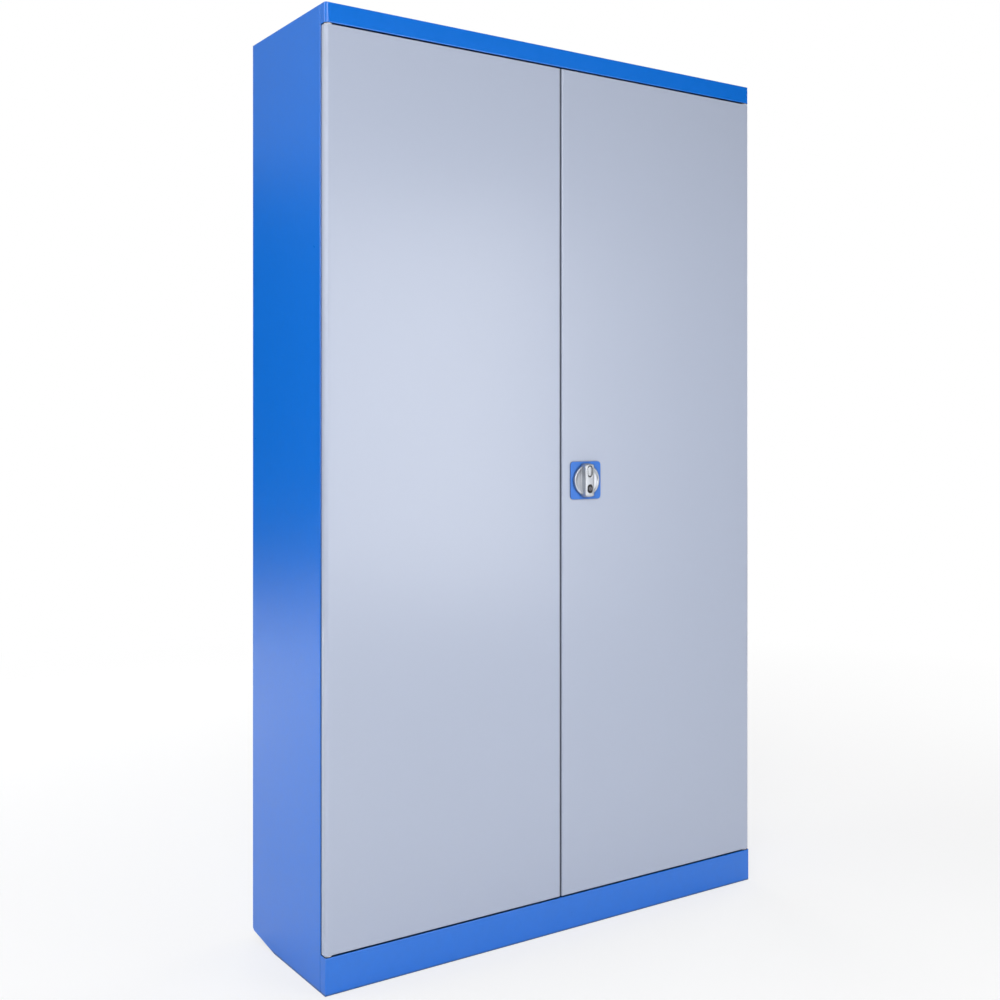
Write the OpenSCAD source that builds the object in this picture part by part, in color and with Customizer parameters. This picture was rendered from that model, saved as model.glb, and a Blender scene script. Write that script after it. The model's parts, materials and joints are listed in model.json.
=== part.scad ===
// Two-door steel tool cabinet with adjustable shelves and a three-point turn-handle lock.
// Millimetres. +Z is up and -Y is the door side. The origin is the centre of the footprint, on the floor.
// Modules draw the right-hand (+X) side, and on_side(-1) mirrors them to the left.

/* [Cabinet] */
// Width over the side panels
cabinet_w = 1150; // [900:10:1400]
// Height from the floor to the roof
cabinet_h = 1950; // [1600:10:2200]
// Depth from the door faces to the rear flanges
cabinet_d = 360; // [320:10:600]
// Height of the band above the doors
header_h = 40; // [34:1:80]
// Height of the band below the doors
plinth_h = 75; // [55:1:140]
// Outer radius of the upright front corners of the doors and of the band above them
corner_r = 8; // [5:0.5:9]
// Outer radius of the upright front corners of the band below the doors
plinth_r = 3; // [2.5:0.25:8]
// Length of the slanted cut at the lower rear corner of a side panel
relief_l = 115; // [60:5:160]
// Height of that cut
relief_h = 14; // [8:1:24]
// Radius of the corner above that cut
relief_r = 12; // [6:1:20]

/* [Sheet metal] */
// Thickness of body, door and shelf sheets
sheet = 1; // [0.8:0.1:1.4]
// Thickness of the rear wall sheets
back_sheet = 0.8; // [0.6:0.1:1.2]
// Outer radius of a folded edge
fold_r = 2; // [1.5:0.1:2.5]
// Visible joint between two sheets that meet edge to edge
seam = 0.4; // [0.2:0.1:0.8]
// Visible joint between the side panels and the bands above and below the doors
band_seam = 1.5; // [0.4:0.1:2.5]
// Gap between sheets that are welded or riveted face to face
lap = 0.1; // [0.05:0.05:0.3]
// Width of the front and rear flanges of a side panel
side_flange_w = 35; // [30:1:45]
// Width of the turned-in foot flanges that stand on the floor
foot_flange_w = 20; // [14:1:30]
// Height of the small side flanges of roof and base
tray_flange_h = 20; // [12:1:30]
// Height of the rear flange of the roof
roof_rear_h = 70; // [60:1:100]
// Height of the rear flange of the base
base_rear_h = 40; // [30:1:45]
// Height of the stop lip behind the door edges
stop_h = 15; // [12:1:25]
// Depth of the turned-in centre flanges of the rear wall
back_fold = 14; // [8:1:20]

/* [Doors] */
// Thickness of a door leaf
door_t = 19; // [18:0.5:24]
// Gap above, below and between the leaves
door_gap = 3; // [2.5:0.1:5]
// Width of the turned-in frame flange at the back of a leaf
door_flange_w = 18; // [14:1:24]
// Radius of the leaf's upright edge at the centre gap
meeting_r = 6; // [3:0.5:8]
// Width of the hat-section stiffener glued inside a leaf
stiffener_w = 80; // [60:1:120]
// Width of each glued foot of that stiffener
stiffener_foot = 15; // [10:1:20]
// Gap that a leaf's back corner keeps to the body as it swings
swing_gap = 0.8; // [0.5:0.1:2]

/* [Hinges] */
// Distance of the hinge axis from the side face and from the door face
hinge_inset = 10; // [9:0.5:12]
// Diameter of a hinge pin
pin_d = 8; // [6:0.5:9]
// Diameter of a hinge pin's head
pin_head_d = 13; // [11:0.5:16]
// Height of a hinge pin's head
pin_head_h = 3; // [2:0.5:5]
// Length of pin inside the leaf
pin_reach = 20; // [14:1:30]
// Outer diameter of a hinge bush
bush_d = 12; // [11:0.5:13]
// Length of a hinge bush below its collar
bush_l = 14; // [8:1:20]
// Diameter of the bush collar that shows in the door gap
collar_d = 16; // [14:0.5:18]
// Thickness of the hinge brackets and hinge plates
bracket_t = 3; // [2:0.5:4]
// Length of a hinge bracket along the leaf
bracket_l = 45; // [35:1:80]
// Radial running clearance of turning and sliding parts
running = 0.06; // [0.02:0.01:0.1]
// Small gap between a moving part and what it rests against
rest_gap = 0.3; // [0.2:0.05:0.5]

/* [Shelves] */
// Number of shelves
shelf_count = 4; // [4]
// Height of a shelf edge
shelf_h = 30; // [24:1:40]
// Width of the returns below a shelf edge
shelf_return = 12; // [8:1:20]
// Distance from the stop lip to the shelf front
shelf_setback = 10; // [6:1:40]
// Gap between the back edge of a shelf and the rear wall's centre flanges
shelf_rear_gap = 4; // [2:1:20]
// Gap between a shelf end and its clips
shelf_end_gap = 0.4; // [0.2:0.1:1]
// Width of the channel below a shelf
beam_w = 60; // [40:1:90]
// Height of that channel
beam_h = 18; // [10:1:22]
// Depth of an upright along the side panel
upright_w = 30; // [24:1:40]
// Distance from a front upright to the front flange
upright_inset = 8; // [1:1:20]
// Thickness of an upright
upright_t = 1.2; // [1:0.1:2]
// Distance between the slots of an upright
slot_pitch = 50; // [25:5:100]
// Height of a slot
slot_h = 4; // [3:0.5:6]
// Width of a slot
slot_w = 11; // [9:0.5:14]
// Thickness of a shelf clip
clip_t = 2; // [1.5:0.1:2.5]
// Width of a shelf clip
clip_w = 18; // [14:1:22]
// Reach of a clip under the shelf
clip_reach = 12; // [8:1:18]
// Distance from a clip's slot down to the top of its ledge
clip_drop = 14; // [10:1:20]

/* [Turn handle] */
// Distance of the handle axis from the middle of the cabinet
lock_x = 65.75; // [60:0.25:90]
// Height of the handle axis above the floor
lock_z = 996; // [800:1:1100]
// Edge length of the square back plate
plate_w = 84; // [80:1:100]
// Thickness of the back plate
plate_t = 2.5; // [2:0.25:4]
// Corner radius of the back plate
plate_r = 8; // [2:0.5:12]
// Diameter of the handle disc
disc_d = 69.5; // [64:0.5:74]
// Thickness of the handle disc
disc_t = 6; // [5:0.5:9]
// Width of the rim around the hollow of the disc
rim_w = 3.5; // [2:0.25:6]
// Depth of that hollow
dish_depth = 3.5; // [1:0.25:4]
// Width of the grip bar across the disc
grip_w = 27; // [22:0.5:32]
// Length of the grip bar
grip_l = 75; // [72:0.5:80]
// Height of the grip bar over the back plate
grip_h = 16; // [12:0.5:22]
// Distance of the key cylinder from the handle axis
key_offset = 18.5; // [16:0.5:22]
// Width of the black key bezel
bezel_w = 14; // [12:0.5:16]
// Height of the black key bezel
bezel_h = 20; // [16:0.5:22]
// Depth of the bezel in the grip
bezel_depth = 4; // [2:0.5:6]
// How far the bezel and the key plug stand out of the grip
bezel_proud = 1; // [0.5:0.25:2]
// Diameter of the key plug
plug_d = 9; // [7:0.5:10]
// Diameter of the blocking pin behind the key plug
block_d = 4; // [3:0.5:5]
// Length of the blocking pin's guide behind the key plug
block_l = 5; // [4:0.5:8]
// Length of the bare oval recess at the other end of the grip
badge_l = 26; // [16:1:28]
// Width of that recess
badge_w = 14; // [10:0.5:18]
// Depth of that recess
badge_depth = 0.6; // [0.3:0.1:1]
// Diameter of the handle hub in the back plate
hub_d = 20; // [16:0.5:24]

/* [Lock case] */
// Width of the lock case
case_w = 62; // [60:1:76]
// Height of the lock case
case_h = 92; // [84:1:120]
// Thickness of the lock case walls
case_t = 1.2; // [1:0.1:2]
// Distance from the back of the case to the back of the leaf
case_back_gap = 2; // [1.5:0.1:3]
// Distance between the handle axis and a case screw, across
screw_x = 26; // [25.5:0.25:27]
// Distance between the handle axis and a case screw, in height
screw_z = 36; // [33:0.5:37]
// Diameter of a case screw
screw_d = 4; // [3:0.5:5]
// Diameter of a case screw's head
screw_head_d = 7; // [6:0.5:8]
// Height of a case screw's head
screw_head_h = 1.5; // [1:0.1:1.6]
// Depth of a case screw in the back plate
screw_bite = 1.5; // [1:0.1:1.7]
// Side of the square spindle
spindle_w = 8; // [7:0.5:9]
// Depth of the spindle in the handle
spindle_seat = 7.5; // [5:0.5:9]
// Length of the screw in the spindle's end
end_screw_l = 12; // [8:1:16]
// Gear module of pinion and racks
gear_m = 1.5; // [1.25:0.05:1.6]
// Number of pinion teeth
pinion_teeth = 17; // [16:1:18]
// Width of the pinion's teeth
pinion_w = 8; // [6:0.5:9]
// Diameter of the pinion's hub
pinion_hub_d = 16; // [14:0.5:18]
// Gap between the flanks of meshing teeth
backlash = 0.15; // [0.1:0.05:0.3]
// Thickness of the side latch
latch_t = 2.5; // [2:0.25:3]
// Width of the side latch
latch_w = 14; // [12:0.5:20]
// How far the side latch reaches behind the other leaf's edge
latch_reach = 14; // [8:1:18]
// Thickness of the wear plate where the side latch bears
keeper_t = 1.2; // [1:0.1:1.5]
// Height of that wear plate
keeper_h = 60; // [40:1:100]

/* [Lock rods] */
// Width of a lock rod
rod_w = 10; // [8:0.5:11]
// Thickness of a lock rod
rod_t = 4; // [3:0.5:5]
// Distance of the rods from the door face
rod_inset = 10; // [9.5:0.25:10.5]
// How far a released rod stays inside the leaf
rod_retract = 2; // [1:0.5:4]
// Height of a rod guide
guide_h = 14; // [10:1:30]
// Width of a rod guide
guide_w = 20; // [18:1:26]
// Thickness of a rod guide behind the rod
guide_wall = 3; // [2:0.5:4]
// Distance of the outer rod guides from the ends of the leaf
guide_end = 60; // [40:1:120]
// Clearance of a rod in its guides and strike slots
rod_clear = 0.3; // [0.2:0.05:0.6]
// Extra room around a rod in its strike plate
strike_clear = 1; // [0.8:0.1:2]
// Length of a strike plate
strike_l = 46; // [36:1:60]
// Thickness of a strike plate
strike_t = 3; // [2:0.5:4]

/* [Small parts] */
// Diameter of a door buffer
buffer_d = 10; // [8:0.5:11]
// Distance of the inner buffers from the middle of the cabinet
buffer_inner = 126.5; // [115:0.5:200]
// Distance of the outer buffers from the side face
buffer_outer = 143.75; // [80:0.25:220]
// Diameter of a rivet shank
rivet_d = 4; // [3:0.5:5]
// Diameter of a rivet head
rivet_head_d = 8; // [7:0.5:10]
// Height of a rivet head
rivet_head_h = 1.4; // [1:0.1:2]
// Number of rivets in each rear flange of the sides
rivet_rows = 7; // [4:1:10]
// Distance of the lowest of them above the cabinet's floor
rivet_bottom = 60; // [40:1:90]
// Distance of the highest of them below the roof
rivet_top = 100; // [90:1:160]
// Diameter of the two wall fixing holes
wall_hole_d = 9; // [6:0.5:12]
// Distance between the wall fixing holes
wall_hole_pitch = 900; // [600:10:1000]
// Distance of the wall fixing holes below the roof
wall_hole_drop = 45; // [38:1:50]

/* [Hidden] */
$fn = 64;
over = 1;              // how far a cutting shape runs past what it cuts
pressure = 20;         // pressure angle of the gear teeth

half_w = cabinet_w / 2;
front_y = -cabinet_d / 2;
rear_y = cabinet_d / 2;

// Doors
door_back_y = front_y + door_t;
door_z0 = plinth_h + door_gap;
door_z1 = cabinet_h - header_h - door_gap;
hinge_x = half_w - hinge_inset;
hinge_y = front_y + hinge_inset;
swing_r = norm([hinge_inset, door_t - hinge_inset]);
header_z = cabinet_h - header_h;

// Body sheets. body_y is the plane where the side panels start, behind the swinging edge of the leaves.
body_y = hinge_y + swing_r + swing_gap;
opening_x = half_w - side_flange_w;        // clear half width between the front flanges
floor_z = plinth_h + stop_h;
back_outer_y = rear_y - sheet - lap;       // outer face of the rear wall
back_inner_y = back_outer_y - back_sheet;
rear_flange_y = back_inner_y - lap;        // outer face of the rear flanges of roof and base
lip_x = opening_x - seam;
tray_x = half_w - sheet - lap;             // outer half width of roof and base between the side panels

// Uprights and shelves
upright_z0 = floor_z + lap;
upright_z1 = cabinet_h - tray_flange_h - over;
front_upright_y = body_y + sheet + upright_inset;
rear_upright_y = rear_flange_y - sheet - 3 - upright_w;
slot_margin = slot_pitch / 2;
slot_count = floor((upright_z1 - upright_z0 - 2 * slot_margin) / slot_pitch) + 1;
function slot_z(n) = upright_z0 + slot_margin + n * slot_pitch;
function shelf_slot(i) = round(i * slot_count / (shelf_count + 1));
function shelf_bottom(i) = slot_z(shelf_slot(i)) - clip_drop + lap;
shelf_x = opening_x - clip_t - lap - shelf_end_gap;
shelf_y0 = body_y + shelf_setback;
shelf_y1 = back_inner_y - back_fold - shelf_rear_gap;
beam_y = (shelf_y0 + shelf_y1) / 2;

// Turn handle, measured outwards from the leaf
plate_y = front_y - plate_t;
knob_y = plate_y - rest_gap;               // back face of the handle
grip_y = knob_y - grip_h;                  // front face of the grip
plug_l = grip_h - block_l;                 // length of the key plug behind the grip face
key_z = lock_z - key_offset;

// Lock case and rods, measured inwards from the leaf's face sheet
skin_y = front_y + sheet;
case_y0 = skin_y + lap;
case_y1 = door_back_y - case_back_gap;
cover_y0 = case_y1 - case_t;
rod_y = front_y + rod_inset;
pitch_r = gear_m * pinion_teeth / 2;
tip_r = pitch_r + gear_m;
root_r = pitch_r - 1.25 * gear_m;
base_r = pitch_r * cos(pressure);
tooth_pitch = PI * gear_m;
rack_tip = pitch_r - 0.9 * gear_m;         // distance of the rack's tooth tips from the handle axis
rack_root = pitch_r + 1.25 * gear_m;
rack_back = rack_tip + rod_w;
rod_travel = pitch_r * PI / 2;             // a quarter turn of the handle
mesh_half = sqrt(tip_r * tip_r - rack_tip * rack_tip) + 0.8;
rod_top = door_z1 - rod_retract;
rod_bottom = door_z0 + rod_retract;
latch_y0 = door_back_y + keeper_t + rest_gap;
latch_y1 = latch_y0 + latch_t;
latch_l = lock_x + door_gap / 2 + latch_reach;

// ---------------------------------------------------------------- helpers

// Draws its children on the right, or mirrored on the left.
module on_side(side) {
  if (side < 0) mirror([1, 0, 0]) children();
  else children();
}

// Flat shapes drawn in one plane and given a thickness between two coordinates.
module between_z(z0, z1) {
  translate([0, 0, z0]) linear_extrude(z1 - z0) children();
}

module between_y(y0, y1) {
  translate([0, y1, 0]) rotate([90, 0, 0]) linear_extrude(y1 - y0) children();
}

module between_x(x0, x1) {
  translate([x0, 0, 0]) rotate([90, 0, 90]) linear_extrude(x1 - x0) children();
}

module block(low, high) {
  translate(low) cube(high - low);
}

module rod_along_y(x, z, y0, y1, d) {
  translate([x, y1, z]) rotate([90, 0, 0]) cylinder(h = y1 - y0, d = d);
}

module rod_along_z(x, y, z0, z1, d) {
  translate([x, y, z0]) cylinder(h = z1 - z0, d = d);
}

// What has to be cut off a square corner to round it. inward points from the corner into the shape.
module corner_waste(corner, inward, r) {
  side = r + over;
  translate(corner + inward * r)
    difference() {
      translate([inward.x > 0 ? -side : 0, inward.y > 0 ? -side : 0]) square(side);
      circle(r);
    }
}

// A rectangle between two corners. radii runs round from the low corner, counter-clockwise.
module rounded_rect(low, high, radii = [0, 0, 0, 0]) {
  corners = [low, [high.x, low.y], high, [low.x, high.y]];
  inward = [[1, 1], [-1, 1], [-1, -1], [1, -1]];
  difference() {
    translate(low) square(high - low);
    for (i = [0:3])
      if (radii[i] > 0) corner_waste(corners[i], inward[i], radii[i]);
  }
}

// A slot with round ends, standing up in its plane.
module upright_oval(w, h) {
  for (side = [-1, 1]) translate([0, side * (h - w) / 2]) circle(d = w);
  square([w, h - w], center = true);
}

// A block with the corner radii plan_r in plan and edge_r in its side view, shrunk by t on every face.
module folded_block(low, high, plan_r, edge_r, t = 0) {
  a = low + [t, t, t];
  b = high - [t, t, t];
  intersection() {
    between_z(a.z, b.z)
      rounded_rect([a.x, a.y], [b.x, b.y], [for (r = plan_r) max(r - t, 0)]);
    between_x(a.x - over, b.x + over)
      rounded_rect([a.y, a.z], [b.y, b.z], [for (r = edge_r) max(r - t, 0)]);
  }
}

// ---------------------------------------------------------------- body

// Heights of the rivets in a rear flange of the sides.
rivet_low = floor_z + rivet_bottom;
rivet_high = cabinet_h - rivet_top;
function rivet_z(i) = rivet_low + i * (rivet_high - rivet_low) / (rivet_rows - 1);
rivet_x = half_w - side_flange_w / 2;
rivet_shares = [-0.75, -0.25, 0.25, 0.75];     // along the roof and base flanges, of the half width
roof_rivet_z = cabinet_h - wall_hole_drop / 2;
base_rivet_z = floor_z - base_rear_h / 2;
rear_cut_y = rear_flange_y - 2 * sheet;        // holes through the rear sheets start here

// One rivet with its head on the outer face face_y, holding sheets of total thickness grip.
module rivet(x, z, face_y, grip) {
  tail_l = rivet_d / 2;
  tail_d = 1.4 * rivet_d;
  rod_along_y(x, z, face_y, face_y + rivet_head_h, rivet_head_d);
  rod_along_y(x, z, face_y - grip - tail_l, face_y, rivet_d);
  rod_along_y(x, z, face_y - grip - tail_l, face_y - grip, tail_d);
}

// Holes for all rivets of the rear wall.
module rivet_holes() {
  for (side = [-1, 1], i = [0:rivet_rows - 1])
    rod_along_y(side * rivet_x, rivet_z(i), rear_cut_y, rear_y + over, rivet_d + 2 * lap);
  for (share = rivet_shares, z = [roof_rivet_z, base_rivet_z])
    rod_along_y(share * half_w, z, rear_cut_y, rear_y + over, rivet_d + 2 * lap);
}

module rear_rivets() {
  color("silver") {
    for (side = [-1, 1], i = [0:rivet_rows - 1])
      rivet(side * rivet_x, rivet_z(i), rear_y + lap, sheet + back_sheet + 3 * lap);
    for (share = rivet_shares, z = [roof_rivet_z, base_rivet_z])
      rivet(share * half_w, z, back_outer_y + lap, sheet + back_sheet + 3 * lap);
  }
}

module wall_holes() {
  for (side = [-1, 1])
    rod_along_y(side * wall_hole_pitch / 2, cabinet_h - wall_hole_drop, rear_cut_y, rear_y + over,
                wall_hole_d);
}

// Side panel: outer wall with a front and a rear flange, and a foot flange. The roof sits between the walls.
module side_panel(side) {
  outline_low = [half_w - side_flange_w, body_y];
  outline_high = [half_w, rear_y];
  relief_mid = [rear_y - relief_r, relief_h + relief_r];
  relief_arc = [for (turn = [0:15:90]) relief_mid + relief_r * [sin(turn), -cos(turn)]];
  color("royalblue") on_side(side)
    difference() {
      union() {
        between_z(0, cabinet_h)
          difference() {
            rounded_rect(outline_low, outline_high, [0, fold_r, fold_r, 0]);
            rounded_rect(outline_low + [-over, sheet], outline_high - [sheet, sheet],
                         [0, fold_r - sheet, fold_r - sheet, 0]);
          }
        between_z(0, sheet)
          difference() {
            rounded_rect(outline_low, outline_high, [0, fold_r, fold_r, 0]);
            translate([half_w - side_flange_w - over, body_y - over])
              square([side_flange_w - foot_flange_w + over, cabinet_d]);
          }
      }
      // slanted relief at the lower rear corner
      between_x(half_w - side_flange_w - over, half_w + over)
        polygon(concat([[rear_y - relief_l, -over], [rear_y - relief_l, 0]], relief_arc,
                       [[rear_y + over, relief_mid.y], [rear_y + over, -over]]));
      // the flanges end below the roof sheet
      block([half_w - side_flange_w - over, body_y - over, cabinet_h - sheet - seam],
            [half_w - sheet, rear_y + over, cabinet_h + over]);
      rivet_holes();
    }
}

// The band over or under the doors: a sheet box, open at the back, whose front corners have radius r.
module front_band(z0, z1, r) {
  low = [-half_w, front_y, z0];
  high = [half_w, body_y - band_seam, z1];
  difference() {
    folded_block(low, high, [r, r, 0, 0], [fold_r, 0, 0, fold_r]);
    folded_block(low, high + [0, 2 * sheet, 0], [r, r, 0, 0], [fold_r, 0, 0, fold_r], sheet);
  }
}

// Holes through the horizontal sheet that faces the door ends at height z: hinge pins and lock rods.
module door_end_holes(z, rod_side) {
  for (side = [-1, 1])
    rod_along_z(side * hinge_x, hinge_y, z - 2 * sheet, z + 2 * sheet, pin_d + 2 * running);
  strike_slot(z - 2 * sheet, z + 2 * sheet, rod_side);
}

// The slot that a lock rod enters. rod_side is -1 for the upper rod and 1 for the lower one.
module strike_slot(z0, z1, rod_side) {
  x = rod_x(rod_side);
  block([x - rod_w / 2 - strike_clear, rod_y - rod_t / 2 - strike_clear, z0],
        [x + rod_w / 2 + strike_clear, rod_y + rod_t / 2 + strike_clear, z1]);
}

module roof_panel() {
  color("royalblue")
    difference() {
      union() {
        front_band(header_z, cabinet_h, corner_r);
        // underside of the band runs back to the stop lip
        block([-lip_x, body_y - band_seam - over, header_z], [lip_x, body_y + sheet, header_z + sheet]);
        block([-lip_x, body_y, header_z - stop_h], [lip_x, body_y + sheet, header_z + sheet]);
        // roof sheet between the side panels
        block([-tray_x, body_y - band_seam - over, cabinet_h - sheet], [tray_x, rear_flange_y, cabinet_h]);
        block([-tray_x + sheet, rear_flange_y - sheet, cabinet_h - roof_rear_h],
              [tray_x - sheet, rear_flange_y, cabinet_h]);
        for (side = [-1, 1]) on_side(side)
          block([tray_x - sheet, body_y + sheet + seam, cabinet_h - tray_flange_h],
                [tray_x, rear_flange_y, cabinet_h]);
      }
      door_end_holes(header_z, -1);
      rivet_holes();
      wall_holes();
    }
}

module base_panel() {
  color("royalblue")
    difference() {
      union() {
        difference() {
          front_band(0, plinth_h, plinth_r);
          // only a foot flange is left of the band's underside
          block([-half_w + foot_flange_w, front_y + foot_flange_w, -over],
                [half_w - foot_flange_w, body_y + over, sheet + over / 2]);
        }
        // ledge under the doors, riser and floor
        block([-lip_x, body_y - band_seam - over, plinth_h - sheet], [lip_x, body_y + sheet, plinth_h]);
        block([-lip_x, body_y, plinth_h - sheet], [lip_x, body_y + sheet, floor_z]);
        block([-lip_x, body_y, floor_z - sheet], [lip_x, rear_flange_y, floor_z]);
        block([-tray_x, body_y + sheet + seam, floor_z - sheet], [tray_x, rear_flange_y, floor_z]);
        block([-tray_x + sheet, rear_flange_y - sheet, floor_z - base_rear_h],
              [tray_x - sheet, rear_flange_y, floor_z]);
        for (side = [-1, 1]) on_side(side)
          block([tray_x - sheet, body_y + sheet + seam, floor_z - tray_flange_h],
                [tray_x, rear_flange_y, floor_z]);
      }
      door_end_holes(plinth_h, 1);
      rivet_holes();
    }
}

// Half of the rear wall, with a centre flange folded inwards between the roof and base flanges.
module back_panel(side) {
  fold_z0 = floor_z + 2;
  fold_z1 = cabinet_h - roof_rear_h - 2;
  color("royalblue") on_side(side)
    difference() {
      union() {
        block([lap, back_inner_y, relief_h + relief_r + over],
              [half_w - sheet - lap - fold_r, back_outer_y, cabinet_h - seam]);
        block([lap, back_inner_y - back_fold, fold_z0], [lap + back_sheet, back_outer_y, fold_z1]);
      }
      rivet_holes();
      wall_holes();
    }
}

// Slotted channel that carries the shelf clips. Its open side is against the side panel.
module upright(side, y0) {
  x0 = opening_x;
  x1 = half_w - sheet - lap;
  color("royalblue") on_side(side)
    difference() {
      block([x0, y0, upright_z0], [x1, y0 + upright_w, upright_z1]);
      block([x0 + upright_t, y0 + upright_t, upright_z0 - over],
            [x1 + over, y0 + upright_w - upright_t, upright_z1 + over]);
      for (n = [0:slot_count - 1])
        block([x0 - over, y0 + (upright_w - slot_w) / 2, slot_z(n) - slot_h / 2],
              [x0 + upright_t + over, y0 + (upright_w + slot_w) / 2, slot_z(n) + slot_h / 2]);
    }
}

// ---------------------------------------------------------------- shelves

module shelf(i) {
  z0 = shelf_bottom(i);
  low = [-shelf_x, shelf_y0, z0];
  high = [shelf_x, shelf_y1, z0 + shelf_h];
  edge_r = [0, 0, fold_r, fold_r];
  color("gainsboro")
    difference() {
      folded_block(low, high, [0, 0, 0, 0], edge_r);
      folded_block(low, high, [0, 0, 0, 0], edge_r, sheet);
      block(low + [shelf_return, shelf_return, -over],
            [high.x - shelf_return, high.y - shelf_return, z0 + 2 * sheet]);
    }
}

// Channel glued below the shelf sheet, open at the top.
module shelf_beam(i) {
  top = shelf_bottom(i) + shelf_h - sheet - lap;
  half_l = shelf_x - shelf_return - 10;
  block([-half_l, beam_y - beam_w / 2, top - beam_h], [half_l, beam_y + beam_w / 2, top]);
}

module shelf_beams() {
  color("gainsboro")
    for (i = [1:shelf_count]) {
      top = shelf_bottom(i) + shelf_h - sheet - lap;
      difference() {
        shelf_beam(i);
        block([-shelf_x, beam_y - beam_w / 2 + sheet, top - beam_h + sheet],
              [shelf_x, beam_y + beam_w / 2 - sheet, top + over]);
      }
    }
}

// A clip hooked into slot n of an upright: a hook behind the web, a plate in front of it and a ledge.
module shelf_clip(y, z) {
  plate_x1 = opening_x - lap;
  plate_x0 = plate_x1 - clip_t;
  hook_x1 = opening_x + upright_t + lap + clip_t;
  hook_w = slot_w - 2 * rest_gap;
  hook_h = slot_h - 2 * rest_gap;
  hook_drop = slot_h + over;
  ledge_z = z - clip_drop;
  block([plate_x0, y - clip_w / 2, ledge_z - clip_t], [plate_x1, y + clip_w / 2, z + slot_h]);
  block([plate_x0 - clip_reach, y - clip_w / 2, ledge_z - clip_t], [plate_x1, y + clip_w / 2, ledge_z]);
  block([plate_x0, y - hook_w / 2, z - hook_h / 2], [hook_x1, y + hook_w / 2, z + hook_h / 2]);
  block([hook_x1 - clip_t, y - hook_w / 2, z - hook_h / 2 - hook_drop],
        [hook_x1, y + hook_w / 2, z + hook_h / 2]);
}

module shelf_clips() {
  color("silver")
    for (i = [1:shelf_count], side = [-1, 1], y = [front_upright_y, rear_upright_y])
      on_side(side) shelf_clip(y + upright_w / 2, slot_z(shelf_slot(i)));
}

// ---------------------------------------------------------------- hinges

// A round on the hinge axis between two heights, given in either order.
module hinge_round(za, zb, d) {
  rod_along_z(hinge_x, hinge_y, min(za, zb), max(za, zb), d);
}

// Pin through the end sheet of the body into the leaf. up is 1 at the header and -1 at the plinth.
module hinge_pin(side, up) {
  sheet_z = up > 0 ? header_z : plinth_h;
  leaf_z = up > 0 ? door_z1 : door_z0;
  head_z = sheet_z + up * (sheet + lap + bracket_t + lap);
  color("silver") on_side(side) {
    hinge_round(leaf_z - up * pin_reach, head_z, pin_d);
    hinge_round(head_z, head_z + up * pin_head_h, pin_head_d);
  }
}

// Plates welded behind the end sheets of the body, where the pins pass.
module hinge_plates(up) {
  sheet_z = up > 0 ? header_z + sheet + lap : plinth_h - sheet - lap - bracket_t;
  color("silver")
    for (side = [-1, 1]) on_side(side)
      difference() {
        between_z(sheet_z, sheet_z + bracket_t)
          rounded_rect([half_w - bracket_l, front_y + sheet + lap + fold_r],
                       [half_w - sheet - lap, body_y - band_seam], [0, corner_r, 0, 0]);
        rod_along_z(hinge_x, hinge_y, sheet_z - over, sheet_z + bracket_t + over, pin_d + 2 * running);
      }
}

// Bracket inside the end of a leaf that holds the bush, with a tab on the face sheet.
module hinge_bracket(up) {
  end_z = up > 0 ? door_z1 - sheet - lap : door_z0 + sheet + lap;
  tab_l = 30;
  x0 = half_w - bracket_l;
  x1 = half_w - sheet - lap;
  y0 = skin_y + lap;
  y1 = door_back_y - sheet - lap;
  inner_r = fold_r - sheet;
  tab_z = [end_z - up * inner_r, end_z - up * tab_l];
  difference() {
    union() {
      between_z(min(end_z, end_z - up * bracket_t), max(end_z, end_z - up * bracket_t))
        rounded_rect([x0, y0 + inner_r], [x1, y1 - inner_r], [0, corner_r, fold_r, 0]);
      block([x0, y0, min(tab_z)], [half_w - corner_r - sheet, y0 + bracket_t / 2, max(tab_z)]);
    }
    rod_along_z(hinge_x, hinge_y, end_z - bracket_t - over, end_z + bracket_t + over, bush_d + 2 * lap);
  }
}

module hinge_brackets(side) {
  color("silver") on_side(side) for (up = [-1, 1]) hinge_bracket(up);
}

// Plastic bush in the end of a leaf. Its collar fills the door gap and carries the leaf.
module hinge_bush(side, up) {
  leaf_z = up > 0 ? door_z1 : door_z0;
  collar_t = door_gap - rest_gap - lap;
  collar_z = leaf_z + up * lap;
  color("whitesmoke") on_side(side)
    difference() {
      union() {
        hinge_round(collar_z, collar_z + up * collar_t, collar_d);
        hinge_round(collar_z, leaf_z - up * bush_l, bush_d);
      }
      rod_along_z(hinge_x, hinge_y, leaf_z - bush_l - over, leaf_z + bush_l + over, pin_d + 2 * running);
    }
}

// ---------------------------------------------------------------- doors

// The folded steel leaf: face, four edges and a frame flange at the back.
module door_skin(side) {
  low = [door_gap / 2, front_y, door_z0];
  high = [half_w, door_back_y, door_z1];
  plan_r = [meeting_r, corner_r, fold_r, fold_r];
  edge_r = [fold_r, fold_r, fold_r, fold_r];
  color("lightsteelblue") on_side(side)
    difference() {
      folded_block(low, high, plan_r, edge_r);
      folded_block(low, high, plan_r, edge_r, sheet);
      block([low.x + door_flange_w, door_back_y - sheet - over, low.z + door_flange_w],
            [high.x - door_flange_w, door_back_y + over, high.z - door_flange_w]);
      rod_along_z(hinge_x, hinge_y, door_z0 - over, door_z0 + 2 * sheet, bush_d + 2 * lap);
      rod_along_z(hinge_x, hinge_y, door_z1 - 2 * sheet, door_z1 + over, bush_d + 2 * lap);
      if (side > 0) lock_holes_in_leaf();
    }
}

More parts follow.
